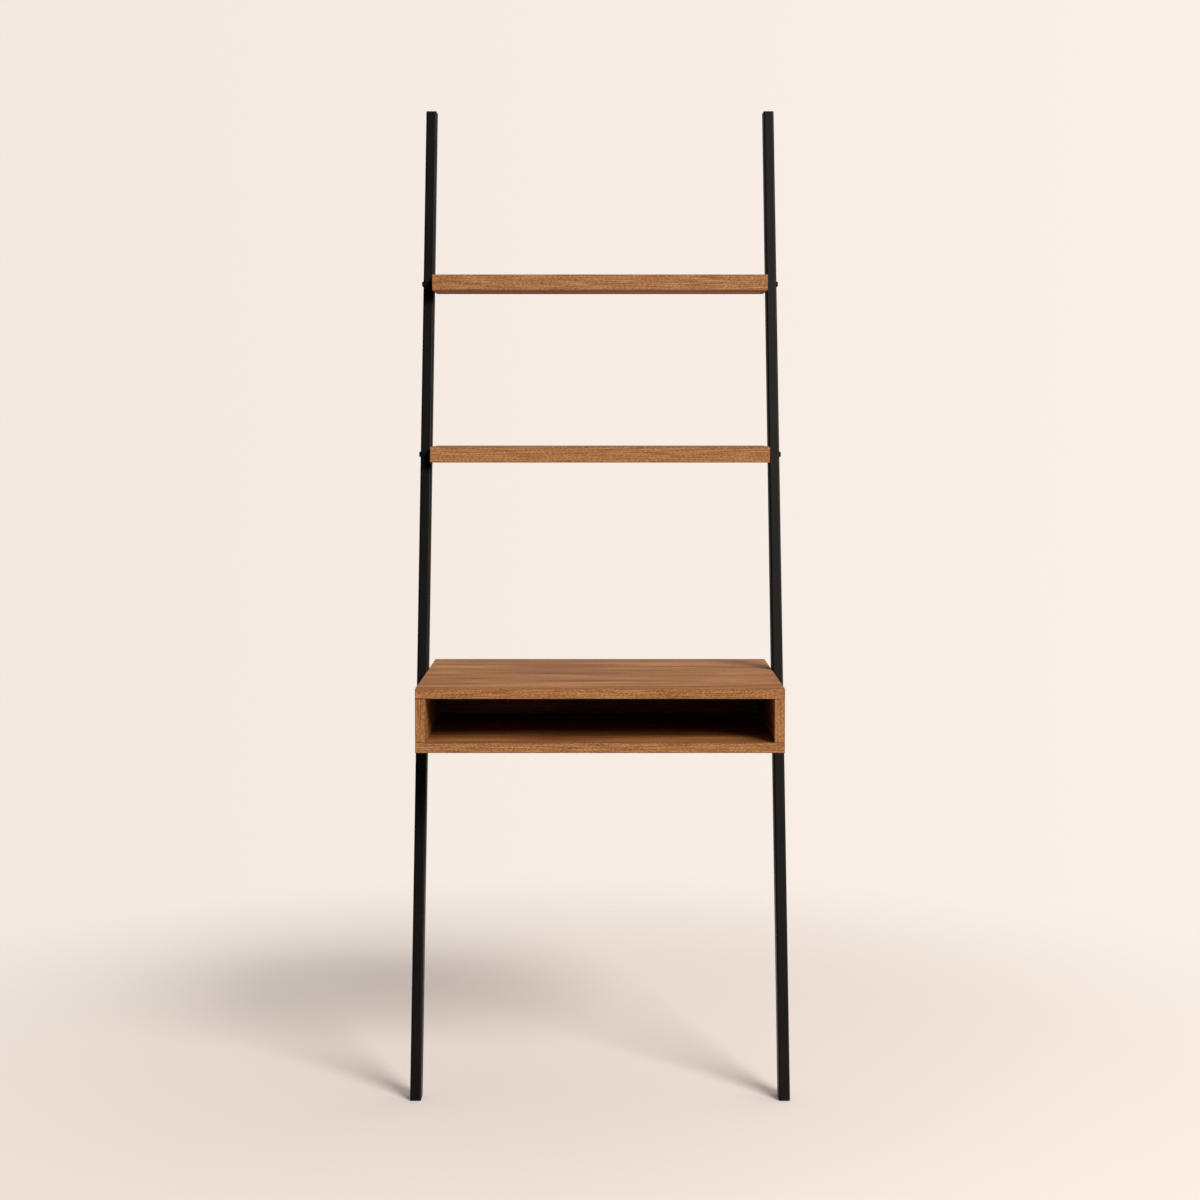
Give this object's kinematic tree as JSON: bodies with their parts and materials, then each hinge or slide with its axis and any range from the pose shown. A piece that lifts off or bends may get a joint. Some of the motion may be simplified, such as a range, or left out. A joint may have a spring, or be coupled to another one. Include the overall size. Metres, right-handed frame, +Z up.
{
  "type": "ladder desk",
  "caption": "Leaning ladder desk: black steel tube rails rest on the floor and a wall and carry wooden shelves and an open-front desk box.",
  "frame": {"origin": "on the floor, below the middle of the desk's overall width and depth", "axes": "+Z up, +X to the user's right, +Y back towards the wall"},
  "size_m": [0.6866, 0.6042, 1.82],
  "materials": {
    "rail_steel": "satin black powder coat",
    "trim_plastic": "matt black moulded",
    "shelf_wood": "satin lacquered brown wood",
    "desk_wood": "satin lacquered brown wood",
    "bolt_steel": "black oxide",
    "insert_metal": "zinc plated",
    "dowel_wood": "bare beech",
    "bracket_steel": "satin black powder coat",
    "screw_steel": "zinc plated"
  },
  "bodies": {
    "root": {"left_rail": "rail_steel", "right_rail": "rail_steel", "left_top_cap": "trim_plastic", "right_top_cap": "trim_plastic", "left_foot": "trim_plastic", "right_foot": "trim_plastic", "top_shelf": "shelf_wood", "middle_shelf": "shelf_wood", "desk_top": "desk_wood", "desk_bottom": "desk_wood", "desk_left_side": "desk_wood", "desk_right_side": "desk_wood", "desk_back": "desk_wood", "top_shelf_bolts": "bolt_steel", "middle_shelf_bolts": "bolt_steel", "desk_bolts": "bolt_steel", "top_shelf_inserts": "insert_metal", "middle_shelf_inserts": "insert_metal", "desk_inserts": "insert_metal", "desk_top_dowels": "dowel_wood", "desk_bottom_dowels": "dowel_wood", "desk_back_dowels": "dowel_wood", "left_wall_bracket": "bracket_steel", "right_wall_bracket": "bracket_steel", "wall_bracket_screws": "screw_steel"}
  },
  "joints": []
}
